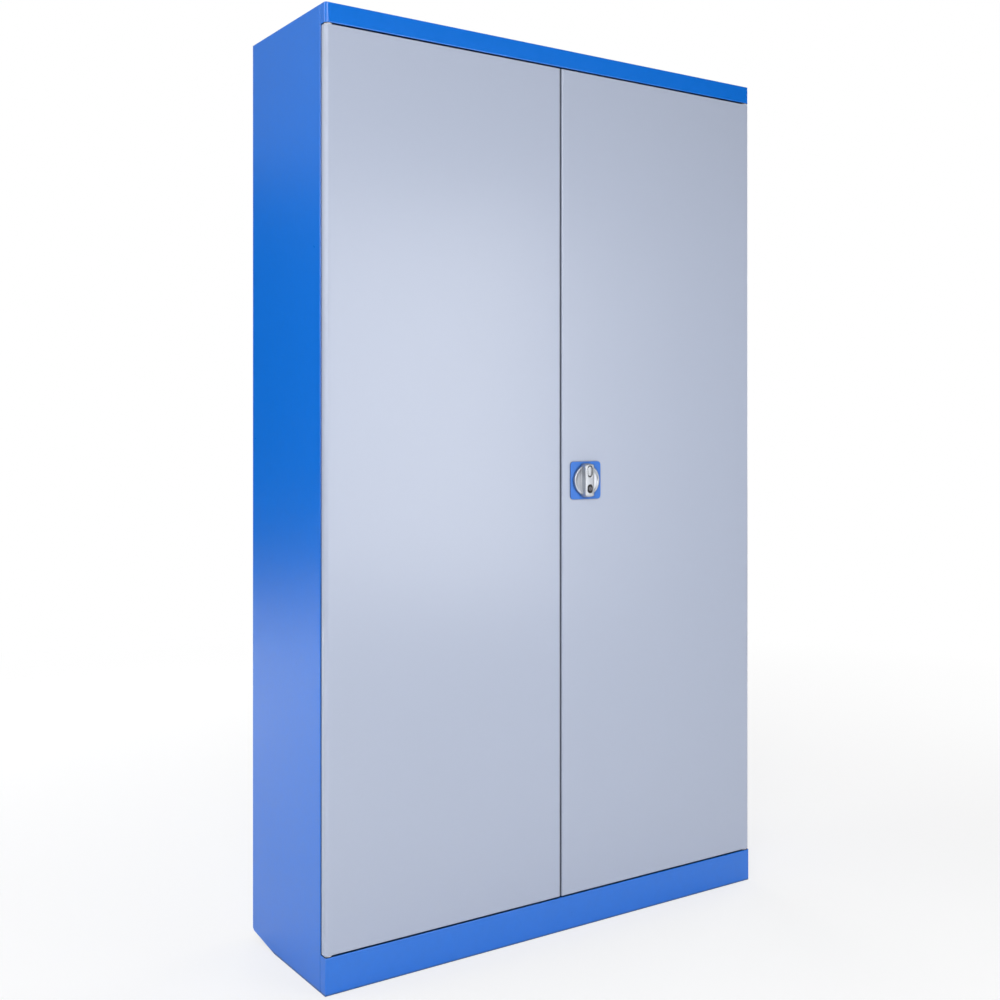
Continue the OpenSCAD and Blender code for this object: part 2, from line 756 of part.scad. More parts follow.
module lock_holes_in_leaf() {
  rod_along_y(lock_x, lock_z, front_y - over, skin_y + over, hub_d + 2 * rest_gap);
  case_screw_holes(front_y - over, skin_y + over);
  for (end = [[-1, door_z1], [1, door_z0]])
    block([rod_x(end[0]) - rod_w / 2 - rod_clear, rod_y - rod_t / 2 - rod_clear, end[1] - 2 * sheet],
          [rod_x(end[0]) + rod_w / 2 + rod_clear, rod_y + rod_t / 2 + rod_clear, end[1] + 2 * sheet]);
}

// Hat-section stiffener glued to the inside of the face sheet, from end to end of the leaf.
module door_stiffener(side) {
  x = (door_gap / 2 + half_w) / 2;
  y0 = skin_y + lap;
  y1 = door_back_y - sheet - 1;
  web_half = stiffener_w / 2 - stiffener_foot;
  end_gap = 12;
  color("lightsteelblue") on_side(side)
    between_z(door_z0 + end_gap, door_z1 - end_gap)
      difference() {
        union() {
          translate([x - stiffener_w / 2, y0]) square([stiffener_w, sheet]);
          translate([x - web_half, y0]) square([2 * web_half, y1 - y0]);
        }
        translate([x - web_half + sheet, y0 - over]) square([2 * (web_half - sheet), y1 - y0 - sheet + over]);
      }
}

// Steel wear plate on the left leaf's edge, where the side latch bears.
module latch_keeper() {
  color("silver") on_side(-1)
    block([door_gap / 2 + fold_r, door_back_y + lap, lock_z - keeper_h / 2],
          [door_gap / 2 + door_flange_w, door_back_y + keeper_t, lock_z + keeper_h / 2]);
}

// Rubber buffers on the two stop lips, behind the frame flanges at the ends of the leaves.
module door_buffers() {
  lip_z = [header_z - stop_h / 2, floor_z - stop_h / 2];
  color("dimgray")
    for (side = [-1, 1], x = [buffer_inner, half_w - buffer_outer], z = lip_z)
      rod_along_y(side * x, z, door_back_y + rest_gap, body_y - lap, buffer_d);
}

// ---------------------------------------------------------------- lock

function rod_x(rod_side) = lock_x + rod_side * (rack_tip + rack_back) / 2;

module at_lock() {
  translate([lock_x, 0, lock_z]) children();
}

// Rounds at the four case screws, whose heads and holes they are.
module at_case_screws(y0, y1, d) {
  at_lock()
    for (sx = [-1, 1], sz = [-1, 1]) rod_along_y(sx * screw_x, sz * screw_z, y0, y1, d);
}

module case_screw_holes(y0, y1) {
  at_case_screws(y0, y1, screw_d + 2 * lap);
}

// Painted back plate between handle and leaf, with two holes for the blocking pin, a quarter turn apart.
module lock_back_plate() {
  half = plate_w / 2;
  color("royalblue")
    difference() {
      at_lock() between_y(plate_y, front_y - lap)
        rounded_rect([-half, -half], [half, half], [plate_r, plate_r, plate_r, plate_r]);
      at_lock() rod_along_y(0, 0, plate_y - over, front_y + over, hub_d + 2 * running);
      at_lock()
        for (at = [[0, -key_offset], [-key_offset, 0]])
          rod_along_y(at.x, at.y, plate_y - over, front_y + over, block_d + 2 * rest_gap);
      case_screw_holes(front_y - screw_bite, front_y + over);
    }
}

// Sheet box behind the face of the right leaf that holds pinion and racks.
module lock_case() {
  half = [case_w / 2, case_h / 2];
  color("silver")
    difference() {
      at_lock() lock_case_box(half);
      case_screw_holes(case_y0 - over, case_y0 + case_t + over);
    }
}

module lock_case_box(half) {
  difference() {
    block([-half.x, case_y0, -half.y], [half.x, cover_y0 - lap, half.y]);
    block([-half.x + case_t, case_y0 + case_t, -half.y + case_t],
          [half.x - case_t, case_y1 + over, half.y - case_t]);
    rod_along_y(0, 0, case_y0 - over, case_y0 + case_t + over, pinion_hub_d + 2 * running);
    for (rod_side = [-1, 1]) {
      x = rod_x(rod_side) - lock_x;
      z = -rod_side * half.y;
      block([x - rod_w / 2 - rod_clear, rod_y - rod_t / 2 - rod_clear, z - 2 * case_t],
            [x + rod_w / 2 + rod_clear, rod_y + rod_t / 2 + rod_clear, z + 2 * case_t]);
    }
  }
}

module lock_case_cover() {
  color("silver")
    difference() {
      at_lock() block([-case_w / 2, cover_y0, -case_h / 2], [case_w / 2, case_y1, case_h / 2]);
      at_lock() rod_along_y(0, 0, cover_y0 - over, case_y1 + over, pinion_hub_d + 2 * running);
      case_screw_holes(cover_y0 - over, case_y1 + over);
    }
}

// Screws from inside through cover, case and face sheet into the back plate.
module lock_case_screws() {
  head_y = case_y1 + lap;
  color("silver") {
    at_case_screws(front_y - screw_bite + lap, head_y, screw_d);
    at_case_screws(head_y, head_y + screw_head_h, screw_head_d);
  }
}

// Guide blocks for the rods, fixed to the face sheet half way along and near the ends of the leaf.
module rod_guides() {
  top = door_z1 - guide_end;
  bottom = door_z0 + guide_end;
  places = [[-1, top], [-1, (lock_z + door_z1) / 2], [1, bottom], [1, (lock_z + door_z0) / 2]];
  color("whitesmoke")
    for (g = places) {
      x = rod_x(g[0]);
      difference() {
        block([x - guide_w / 2, skin_y + lap, g[1] - guide_h / 2],
              [x + guide_w / 2, rod_y + rod_t / 2 + guide_wall, g[1] + guide_h / 2]);
        block([x - rod_w / 2 - rod_clear, rod_y - rod_t / 2 - rod_clear, g[1] - guide_h],
              [x + rod_w / 2 + rod_clear, rod_y + rod_t / 2 + rod_clear, g[1] + guide_h]);
      }
    }
}

// Thick plates behind the end sheets of the body, with the slots that the rods enter.
module strike_plate(z, rod_side) {
  z0 = z > lock_z ? z + sheet + lap : z - sheet - lap - strike_t;
  x = rod_x(rod_side);
  color("silver")
    difference() {
      block([x - strike_l / 2, front_y + sheet + fold_r, z0],
            [x + strike_l / 2, body_y - seam, z0 + strike_t]);
      strike_slot(z0 - over, z0 + strike_t + over, rod_side);
    }
}

// Handle: a dished disc with a raised grip bar, and a hub that turns in the back plate.
module turn_handle() {
  color("gainsboro") at_lock()
    difference() {
      union() {
        difference() {
          rod_along_y(0, 0, knob_y - disc_t, knob_y, disc_d);
          rod_along_y(0, 0, knob_y - disc_t - over, knob_y - disc_t + dish_depth, disc_d - 2 * rim_w);
        }
        between_y(grip_y, knob_y)
          intersection() {
            circle(d = grip_l);
            square([grip_w, grip_l], center = true);
          }
        rod_along_y(0, 0, knob_y - over, skin_y - lap, hub_d);
      }
      // square seat of the spindle
      block([-spindle_w / 2 - running, knob_y - spindle_seat - rest_gap, -spindle_w / 2 - running],
            [spindle_w / 2 + running, skin_y + over, spindle_w / 2 + running]);
      // bezel pocket, key plug bore and pin bore
      translate([0, 0, -key_offset]) {
        between_y(grip_y - over, grip_y + bezel_depth) upright_oval(bezel_w + 2 * lap, bezel_h + 2 * lap);
        rod_along_y(0, 0, grip_y - over, grip_y + plug_l + running, plug_d + 2 * running);
        rod_along_y(0, 0, grip_y, knob_y + over, block_d + 2 * running);
      }
      // bare oval recess
      translate([0, 0, key_offset + 2])
        between_y(grip_y - over, grip_y + badge_depth) upright_oval(badge_w, badge_l);
    }
}

module key_bezel() {
  color("black")
    translate([lock_x, 0, key_z])
      difference() {
        between_y(grip_y - bezel_proud, grip_y + bezel_depth - lap) upright_oval(bezel_w, bezel_h);
        rod_along_y(0, 0, grip_y - bezel_proud - over, grip_y + bezel_depth + over, plug_d + 2 * running);
      }
}

// Turning core of the key cylinder with its keyhole.
module key_plug() {
  keyhole = [1.4, 5];
  color("silver")
    translate([lock_x, 0, key_z])
      difference() {
        rod_along_y(0, 0, grip_y - bezel_proud - 0.3, grip_y + plug_l - lap, plug_d);
        block([-keyhole.x / 2, grip_y - bezel_proud - over, -keyhole.y / 2],
              [keyhole.x / 2, grip_y + plug_l / 2, keyhole.y / 2]);
      }
}

// Pin pushed out of the handle into the back plate when the key is turned.
module blocking_pin() {
  color("silver") translate([lock_x, 0, key_z])
    rod_along_y(0, 0, grip_y + plug_l + running, knob_y - rest_gap / 2, block_d);
}

module handle_spindle() {
  color("silver") at_lock()
    difference() {
      block([-spindle_w / 2, knob_y - spindle_seat, -spindle_w / 2],
            [spindle_w / 2, latch_y1 - rest_gap, spindle_w / 2]);
      rod_along_y(0, 0, latch_y1 - end_screw_l - over, latch_y1 + over, screw_d + 2 * lap);
    }
}

// Involute of the pinion's base circle: its polar angle, in degrees, where it reaches radius r.
function involute_angle(r) =
  let (roll = sqrt(max(pow(r / base_r, 2) - 1, 0))) roll * 180 / PI - atan(roll);

// Half the angle of a tooth at radius r, thinned by the backlash.
function tooth_half_angle(r) =
  let (at_pitch = 90 / pinion_teeth - backlash / 2 / pitch_r * 180 / PI)
    at_pitch + involute_angle(pitch_r) - involute_angle(max(r, base_r));

module pinion_teeth_shape() {
  steps = 5;
  start_r = max(root_r, base_r);
  radii = concat([root_r], [for (i = [0:steps]) start_r + (tip_r - start_r) * i / steps]);
  count = len(radii);
  outline = [
    for (tooth = [0:pinion_teeth - 1], flank = [-1, 1], i = [0:count - 1])
      let (
        r = radii[flank < 0 ? i : count - 1 - i],
        a = tooth * 360 / pinion_teeth + flank * tooth_half_angle(r)
      )
        r * [cos(a), sin(a)]
  ];
  polygon(outline);
}

module lock_pinion() {
  color("silver") at_lock()
    difference() {
      union() {
        between_y(rod_y - pinion_w / 2, rod_y + pinion_w / 2) pinion_teeth_shape();
        rod_along_y(0, 0, case_y0 + lap, latch_y0 - lap, pinion_hub_d);
      }
      block([-spindle_w / 2 - running, case_y0 - over, -spindle_w / 2 - running],
            [spindle_w / 2 + running, latch_y0 + over, spindle_w / 2 + running]);
    }
}

// Half the width of a rack tooth at distance x from the handle axis.
function rack_half(x) = tooth_pitch / 4 - backlash / 2 + (x - pitch_r) * tan(pressure);

// Outline of the rack tooth at height z, from its upper root to its lower one.
function rack_tooth(z) = [
  [rack_root, z + rack_half(rack_root)], [rack_tip, z + rack_half(rack_tip)],
  [rack_tip, z - rack_half(rack_tip)], [rack_root, z - rack_half(rack_root)]
];

// A lock rod on the +X side of the pinion axis, which is the origin. It leaves upwards to height end.
// phase is 0 where a rack tooth is level with the axis and 0.5 where a gap is.
module rod_body(end, phase) {
  low = -rod_travel - mesh_half;
  point = 3;
  first = ceil((low + rack_half(rack_root)) / tooth_pitch - phase);
  last = floor((mesh_half - rack_half(rack_root)) / tooth_pitch - phase);
  outline = concat(
    [[rack_back, low], [rack_back, end - 2 * point], [rack_back - point, end], [rack_tip + point, end],
     [rack_tip, end - 2 * point], [rack_tip, mesh_half], [rack_root, mesh_half]],
    [for (n = [last:-1:first]) each rack_tooth((n + phase) * tooth_pitch)],
    [[rack_root, low]]
  );
  between_y(rod_y - rod_t / 2, rod_y + rod_t / 2) polygon(outline);
}

// The pinion has a tooth on its +X side, so with an odd count it has a gap on the other.
left_phase = pinion_teeth % 2 == 1 ? 0 : 0.5;

module upper_lock_rod() {
  color("silver") at_lock()
    mirror([1, 0, 0]) rod_body(rod_top - lock_z, left_phase);
}

module lower_lock_rod() {
  color("silver") at_lock()
    mirror([0, 0, 1]) rod_body(lock_z - rod_bottom, 0.5);
}

// Arm on the spindle that turns behind the left leaf's edge. It hangs down when the handle is released.
module side_latch() {
  color("silver") at_lock()
    difference() {
      between_y(latch_y0, latch_y1) {
        circle(d = latch_w + 8);
        translate([-latch_w / 2, -latch_l + latch_w / 2]) square([latch_w, latch_l - latch_w / 2]);
        translate([0, -latch_l + latch_w / 2]) circle(d = latch_w);
      }
      block([-spindle_w / 2 - running, latch_y0 - over, -spindle_w / 2 - running],
            [spindle_w / 2 + running, latch_y1 + over, spindle_w / 2 + running]);
    }
}

module spindle_screw() {
  washer_y = latch_y1 + lap;
  washer_t = 1;
  washer_d = 1.7 * spindle_w;
  head_y = washer_y + washer_t;
  color("silver") at_lock() {
    rod_along_y(0, 0, latch_y1 - end_screw_l, washer_y, screw_d);
    rod_along_y(0, 0, washer_y, head_y, washer_d);
    rod_along_y(0, 0, head_y, head_y + 0.65 * screw_d, 2 * screw_d);
  }
}

// ---------------------------------------------------------------- nodes

side_panel(-1);  // left_side_panel
side_panel(1);  // right_side_panel
roof_panel();
base_panel();
back_panel(-1);  // left_back_panel
back_panel(1);  // right_back_panel
upright(-1, front_upright_y);  // front_left_upright
upright(1, front_upright_y);  // front_right_upright
upright(-1, rear_upright_y);  // rear_left_upright
upright(1, rear_upright_y);  // rear_right_upright
shelf(1);  // shelf_1
shelf(2);  // shelf_2
shelf(3);  // shelf_3
shelf(4);  // shelf_4
shelf_beams();
shelf_clips();
rear_rivets();
hinge_pin(-1, 1);  // upper_left_hinge_pin
hinge_pin(1, 1);  // upper_right_hinge_pin
hinge_pin(-1, -1);  // lower_left_hinge_pin
hinge_pin(1, -1);  // lower_right_hinge_pin
hinge_plates(1);  // upper_hinge_plates
hinge_plates(-1);  // lower_hinge_plates
strike_plate(header_z, -1);  // upper_strike_plate
strike_plate(plinth_h, 1);  // lower_strike_plate
door_buffers();
door_skin(-1);  // left_door_skin
door_stiffener(-1);  // left_door_stiffener
hinge_brackets(-1);  // left_hinge_brackets
hinge_bush(-1, 1);  // upper_left_hinge_bush
hinge_bush(-1, -1);  // lower_left_hinge_bush
latch_keeper();
door_skin(1);  // right_door_skin
door_stiffener(1);  // right_door_stiffener
hinge_brackets(1);  // right_hinge_brackets
hinge_bush(1, 1);  // upper_right_hinge_bush
hinge_bush(1, -1);  // lower_right_hinge_bush
lock_back_plate();
lock_case();
lock_case_cover();
lock_case_screws();
rod_guides();
turn_handle();
key_bezel();
handle_spindle();
lock_pinion();
side_latch();
spindle_screw();
upper_lock_rod();
lower_lock_rod();
key_plug();
blocking_pin();
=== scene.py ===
import json
import math

import bmesh
import bpy
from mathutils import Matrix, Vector


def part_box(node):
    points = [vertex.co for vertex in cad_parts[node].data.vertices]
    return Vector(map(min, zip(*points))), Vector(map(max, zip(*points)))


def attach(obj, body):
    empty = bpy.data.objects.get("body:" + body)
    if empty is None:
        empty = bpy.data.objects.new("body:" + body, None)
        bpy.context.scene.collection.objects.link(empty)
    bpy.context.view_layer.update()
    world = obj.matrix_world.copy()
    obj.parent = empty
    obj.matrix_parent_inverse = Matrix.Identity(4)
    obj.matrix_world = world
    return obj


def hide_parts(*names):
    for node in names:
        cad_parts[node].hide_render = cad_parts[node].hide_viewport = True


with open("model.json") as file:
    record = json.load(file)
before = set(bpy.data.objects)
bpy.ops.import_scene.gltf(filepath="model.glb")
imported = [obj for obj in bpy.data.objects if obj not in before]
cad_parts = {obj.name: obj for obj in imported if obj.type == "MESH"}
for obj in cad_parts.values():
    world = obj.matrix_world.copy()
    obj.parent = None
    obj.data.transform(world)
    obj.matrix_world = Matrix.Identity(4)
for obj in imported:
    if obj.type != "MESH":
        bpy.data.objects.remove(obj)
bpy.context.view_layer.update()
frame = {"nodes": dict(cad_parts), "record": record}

NODES = frame["nodes"]
MM = 0.001

# Camera of the photograph, in metres and degrees
CAMERA_AT = (-1.676, -2.429, 1.122)
CAMERA_YAW = 33.92          # from +Y towards +X
CAMERA_LENS = 45.64         # mm
CAMERA_SENSOR = 36          # mm
CAMERA_SHIFT_Y = -0.0761    # the horizon lies above the middle of the frame

# Colours, linear
BODY_BLUE = (0.0006, 0.172, 0.74, 1)
PLATE_BLUE = (0.02, 0.17, 0.66, 1)
DOOR_GREY = (0.465, 0.517, 0.645, 1)
SHELF_GREY = (0.50, 0.53, 0.60, 1)
ZINC = (0.46, 0.47, 0.48, 1)
NYLON = (0.80, 0.80, 0.82, 1)
RUBBER = (0.02, 0.02, 0.022, 1)
BLACK = (0.004, 0.004, 0.005, 1)
SATIN_SILVER = (0.49, 0.51, 0.55, 1)
BRIGHT_STEEL = (0.16, 0.16, 0.18, 1)
FLOOR_WHITE = (0.9, 0.9, 0.9, 1)
WHITE = (1, 1, 1, 1)

CORNERS = ((-1, -1), (1, -1), (1, 1), (-1, 1))    # of a square around the origin


def add_object(name, data):
    """An object in the scene, from a mesh, a lamp or a camera."""
    obj = bpy.data.objects.new(name, data)
    bpy.context.scene.collection.objects.link(obj)
    return obj


# ---------------------------------------------------------------- materials

# Nearly all values of a noise lie between these two
NOISE_LOW = 0.1
NOISE_HIGH = 0.9

# Painted shade in crevices: reach in metres, and the open shares of directions at which the painted shade is
# darkest and clear
CREVICE_SHADE_REACH = 0.008
CREVICE_SHADE_DARK = 0.45
CREVICE_SHADE_CLEAR = 0.9

# The finer of the two orange peels, as factors of the coarse one
FINE_PEEL_SCALE = 3.1
FINE_PEEL_DEPTH = 0.25

# Metals: scale of the clouds, and how uneven colour and roughness are
METAL_CLOUDS = 60.0
METAL_UNEVEN = 0.05
METAL_DULLER = 0.07

# Plastics: scales of clouds, patches of sheen and grain, the grain's depth in metres, and how uneven they are
PLASTIC_CLOUDS = 40.0
PLASTIC_PATCHES = 200.0
PLASTIC_GRAIN = 1500.0
PLASTIC_GRAIN_DEPTH = 0.00001
PLASTIC_UNEVEN = 0.04


def new_material(name):
    """A material with a bare Principled shader. Returns the material, its node tree and the shader."""
    material = bpy.data.materials.new(name)
    material.use_nodes = True
    tree = material.node_tree
    return material, tree, tree.nodes["Principled BSDF"]


def add_node(tree, kind, **inputs):
    """A shader node with its sockets set by name. Spaces in socket names are written as underscores."""
    node = tree.nodes.new(kind)
    for key, value in inputs.items():
        node.inputs[key.replace("_", " ")].default_value = value
    return node


def map_range(tree, value, start, end, low, high):
    """Maps a value from the range start to end to the range low to high. Returns the node."""
    node = add_node(tree, "ShaderNodeMapRange", From_Min=start, From_Max=end, To_Min=low, To_Max=high)
    tree.links.new(value, node.inputs["Value"])
    return node


def grain(tree, scale, detail=2.0):
    """Noise over the object's own metres, so that its grain has a real size: about 1/scale metres."""
    place = tree.nodes.new("ShaderNodeTexCoord")
    noise = add_node(tree, "ShaderNodeTexNoise", Scale=scale, Detail=detail)
    tree.links.new(place.outputs["Object"], noise.inputs["Vector"])
    return noise.outputs["Fac"]


def spread(tree, noise, low, high):
    """Maps a noise value to the range low to high."""
    return map_range(tree, noise, NOISE_LOW, NOISE_HIGH, low, high).outputs["Result"]


def tint(tree, noise, colour, amount):
    """The colour, darker and lighter by up to the share amount where the noise value says."""
    ramp = tree.nodes.new("ShaderNodeValToRGB")
    places = (NOISE_LOW, NOISE_HIGH)
    shares = (1 - amount, 1 + amount)
    for stop, place, share in zip(ramp.color_ramp.elements, places, shares):
        stop.color = [min(1, c * share) for c in colour[:3]] + [1]
        stop.position = place
    tree.links.new(noise, ramp.inputs["Fac"])
    return ramp.outputs["Color"]


def bump(tree, height, depth, after=None):
    """A bump of the given depth in metres, on top of another normal."""
    node = add_node(tree, "ShaderNodeBump", Strength=1.0, Distance=depth)
    tree.links.new(height, node.inputs["Height"])
    if after is not None:
        tree.links.new(after, node.inputs["Normal"])
    return node.outputs["Normal"]


def crevice_shade(tree, colour, least):
    """Painted shade: darkens a colour by ambient occlusion in narrow gaps and inner corners, where shade
    falls, down to the share least.
    """
    near = add_node(tree, "ShaderNodeAmbientOcclusion", Distance=CREVICE_SHADE_REACH)
    near.samples = 8
    dark = map_range(tree, near.outputs["AO"], CREVICE_SHADE_DARK, CREVICE_SHADE_CLEAR, least, 1.0)
    mix = tree.nodes.new("ShaderNodeVectorMath")
    mix.operation = "SCALE"
    tree.links.new(colour, mix.inputs["Vector"])
    tree.links.new(dark.outputs["Result"], mix.inputs["Scale"])
    return mix.outputs["Vector"]


def powder_coat(name, colour, roughness, peel, peel_depth, gloss=0.5, mottle=0.004, spot=300.0, least=0.4):
    """Baked powder paint: an orange peel in two sizes, a faint mottle in colour and sheen, and painted shade
    in its gaps and inner corners.

    peel and spot are scales of noise, peel_depth is in metres, and least is how dark the painted shade in its
    gaps gets."""
    material, tree, shader = new_material(name)
    patches = grain(tree, spot)
    # the paint's colour, with painted shade darkening it in gaps and inner corners
    paint = crevice_shade(tree, tint(tree, patches, colour, mottle), least)
    sheen = spread(tree, patches, roughness - mottle, roughness + mottle)
    coarse = bump(tree, grain(tree, peel, detail=1.5), peel_depth)
    fine = bump(tree, grain(tree, peel * FINE_PEEL_SCALE, detail=1.0), peel_depth * FINE_PEEL_DEPTH, coarse)
    tree.links.new(paint, shader.inputs["Base Color"])
    tree.links.new(sheen, shader.inputs["Roughness"])
    tree.links.new(fine, shader.inputs["Normal"])
    shader.inputs["Specular IOR Level"].default_value = gloss
    return material


def metal(name, colour, roughness, grain_scale=900.0, grain_depth=0.000004):
    """Plated or machined metal with a fine grain, and faint clouds in its colour."""
    material, tree, shader = new_material(name)
    clouds = grain(tree, METAL_CLOUDS)
    fine = grain(tree, grain_scale, detail=3.0)
    sheen = spread(tree, fine, roughness - METAL_UNEVEN, roughness + METAL_DULLER)
    tree.links.new(tint(tree, clouds, colour, METAL_UNEVEN), shader.inputs["Base Color"])
    tree.links.new(sheen, shader.inputs["Roughness"])
    tree.links.new(bump(tree, fine, grain_depth), shader.inputs["Normal"])
    shader.inputs["Metallic"].default_value = 1.0
    return material


def plastic(name, colour, roughness):
    """Moulded plastic or rubber with a slight grain, and faint clouds in its colour."""
    material, tree, shader = new_material(name)
    clouds = grain(tree, PLASTIC_CLOUDS)
    patches = grain(tree, PLASTIC_PATCHES)
    sheen = spread(tree, patches, roughness - PLASTIC_UNEVEN, roughness + PLASTIC_UNEVEN)
    fine = bump(tree, grain(tree, PLASTIC_GRAIN), PLASTIC_GRAIN_DEPTH)
    tree.links.new(tint(tree, clouds, colour, PLASTIC_UNEVEN), shader.inputs["Base Color"])
    tree.links.new(sheen, shader.inputs["Roughness"])
    tree.links.new(fine, shader.inputs["Normal"])
    return material


# One for each of the record's material slots
MATERIALS = {
    # every powder coat paints shade into its gaps and inner corners; least is its darkest share, 0.12 on the
    # body and 0.4 elsewhere
    "body_paint": powder_coat("body_paint", BODY_BLUE, 0.30, 330.0, 0.00005,
                              gloss=0.9, mottle=0.035, spot=75.0, least=0.12),
    "door_paint": powder_coat("door_paint", DOOR_GREY, 0.27, 520.0, 0.00001),
    "shelf_paint": powder_coat("shelf_paint", SHELF_GREY, 0.32, 520.0, 0.00001),
    "plate_paint": powder_coat("plate_paint", PLATE_BLUE, 0.33, 600.0, 0.00002, mottle=0.04),
    "zinc_steel": metal("zinc_steel", ZINC, 0.45),
    "handle_metal": metal("handle_metal", SATIN_SILVER, 0.42, grain_scale=1500.0, grain_depth=0.000003),
    "plug_metal": metal("plug_metal", BRIGHT_STEEL, 0.36),
    "white_nylon": plastic("white_nylon", NYLON, 0.45),
    "buffer_rubber": plastic("buffer_rubber", RUBBER, 0.7),
    "black_plastic": plastic("black_plastic", BLACK, 0.35),
}


# ---------------------------------------------------------------- CAD nodes

# Radius of softened edges, in metres
USUAL_EDGE_RADIUS = 0.0003
SLOT_EDGE_RADIUS = {"white_nylon": 0.0005, "buffer_rubber": 0.0012}
# The rear wall's edges lie under flanges and rivet heads, and bevels around its holes would crease it
NODE_EDGE_RADIUS = {"lock_back_plate": 0.0009, "left_back_panel": 0, "right_back_panel": 0}

WELD_REACH = 0.00001              # m, between points that are one
BEVEL_FROM = math.radians(35)     # edges that bend more than this are softened
SHARP_FROM = math.radians(50)     # edges that bend more than this stay sharp in the shading


def smooth_group():
    """Modifier that shades faces as one where they meet at less than SHARP_FROM."""
    group = bpy.data.node_groups.new("smooth_by_angle", "GeometryNodeTree")
    group.interface.new_socket("Geometry", in_out="INPUT", socket_type="NodeSocketGeometry")
    group.interface.new_socket("Geometry", in_out="OUTPUT", socket_type="NodeSocketGeometry")
    start = group.nodes.new("NodeGroupInput")
    end = group.nodes.new("NodeGroupOutput")
    faces = group.nodes.new("GeometryNodeSetShadeSmooth")
    edges = group.nodes.new("GeometryNodeSetShadeSmooth")
    edges.domain = "EDGE"
    edges.inputs["Shade Smooth"].default_value = False
    angle = group.nodes.new("GeometryNodeInputMeshEdgeAngle")
    steep = group.nodes.new("ShaderNodeMath")
    steep.operation = "GREATER_THAN"
    steep.inputs[1].default_value = SHARP_FROM
    group.links.new(start.outputs[0], faces.inputs["Geometry"])
    group.links.new(faces.outputs["Geometry"], edges.inputs["Geometry"])
    group.links.new(angle.outputs["Unsigned Angle"], steep.inputs[0])
    group.links.new(steep.outputs[0], edges.inputs["Selection"])
    group.links.new(edges.outputs["Geometry"], end.inputs[0])
    return group


SMOOTH = smooth_group()


def soften(obj, radius):
    """Rounds every hard edge a little, as folding, cutting and paint do. Radius 0 leaves the edges hard."""
    weld = obj.modifiers.new("weld", "WELD")
    weld.merge_threshold = WELD_REACH
    if radius:
        edge = obj.modifiers.new("edge", "BEVEL")
        edge.width = radius
        edge.segments = 2
        edge.limit_method = "ANGLE"
        edge.angle_limit = BEVEL_FROM
    shade = obj.modifiers.new("shade", "NODES")
    shade.node_group = SMOOTH
    flat = obj.modifiers.new("flat", "WEIGHTED_NORMAL")
    flat.keep_sharp = True


def dress_cad_nodes():
    """Each CAD node takes the material of its slot and softened edges."""
    for row in frame["record"]["subparts"]:
        obj = NODES[row["node"]]
        slot = row["material_slot"]
        obj.data.materials.clear()
        obj.data.materials.append(MATERIALS[slot])
        soften(obj, NODE_EDGE_RADIUS.get(row["node"], SLOT_EDGE_RADIUS.get(slot, USUAL_EDGE_RADIUS)))


# ---------------------------------------------------------------- shells around an axis

SAME_POINT = 0.000004    # m, between points of a shell that are one


def axis_of(low, high):
    """Where the middle line of a box crosses the plane of x and z."""
    return (low[0] + high[0]) / 2, (low[2] + high[2]) / 2


def oval_reach(half_w, half_l, angle):
    """Distance from an upright oval's middle to its edge."""
    ux, uz = abs(math.cos(angle)), abs(math.sin(angle))
    straight = half_l - half_w
    if ux > 1e-9 and half_w / ux * uz <= straight:
        return half_w / ux
    along = uz * straight
    return along + math.sqrt(max(0.0, along * along - straight * straight + half_w * half_w))


def oval_rows(centre_z, half_w, half_l, angles, steps):
    """Rows of an upright oval, one for each pair of inset and height."""
    rows = []
    for inset, height in steps:
        reach = [oval_reach(half_w - inset, half_l - inset, a) for a in angles]
        rows.append([(r * math.cos(a), centre_z + r * math.sin(a), height) for r, a in zip(reach, angles)])
    return rows


def circle_rows(centre_z, angles, steps):
    """Rows of a circle, one for each pair of radius and height."""
    return [[(r * math.cos(a), centre_z + r * math.sin(a), height) for a in angles] for r, height in steps]


class Shell:
    """Rows of points around an axis along y, joined into faces. Points are in millimetres: x and z from the
    axis, and the height out of the plane y = back_y."""

    def __init__(self, axis, back_y):
        self.mesh = bmesh.new()
        self.axis = axis
        self.back_y = back_y
        self.ink = 0    # material of the faces made next

    def point(self, x, z, height):
        return self.mesh.verts.new((self.axis[0] + x * MM, self.back_y - height * MM, self.axis[1] + z * MM))

    def loop(self, points):
        return [self.point(*spot) for spot in points]

    def join(self, outer, inner):
        """A band of faces between two loops."""
        count = len(outer)
        for i in range(count):
            j = (i + 1) % count
            face = self.mesh.faces.new((outer[i], inner[i], inner[j], outer[j]))
            face.material_index = self.ink

    def rings(self, first, rows):
        """Joins the first loop to each row of points in turn. Returns the last loop."""
        for row in rows:
            following = self.loop(row)
            self.join(first, following)
            first = following
        return first

    def close(self, loop):
        self.mesh.faces.new(loop)

    def finish(self, name, slot, body, ink=None):
        """Makes the piece, with the material named by slot, and by ink where the faces say so."""
        bmesh.ops.remove_doubles(self.mesh, verts=self.mesh.verts, dist=SAME_POINT)
        bmesh.ops.dissolve_degenerate(self.mesh, edges=self.mesh.edges, dist=SAME_POINT)
        bmesh.ops.recalc_face_normals(self.mesh, faces=self.mesh.faces)
        mesh = bpy.data.meshes.new(name)
        self.mesh.to_mesh(mesh)
        self.mesh.free()
        for look in (slot, ink or slot):
            mesh.materials.append(MATERIALS[look])
        obj = add_object(name, mesh)
        obj.modifiers.new("shade", "NODES").node_group = SMOOTH
        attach(obj, body)
        return obj


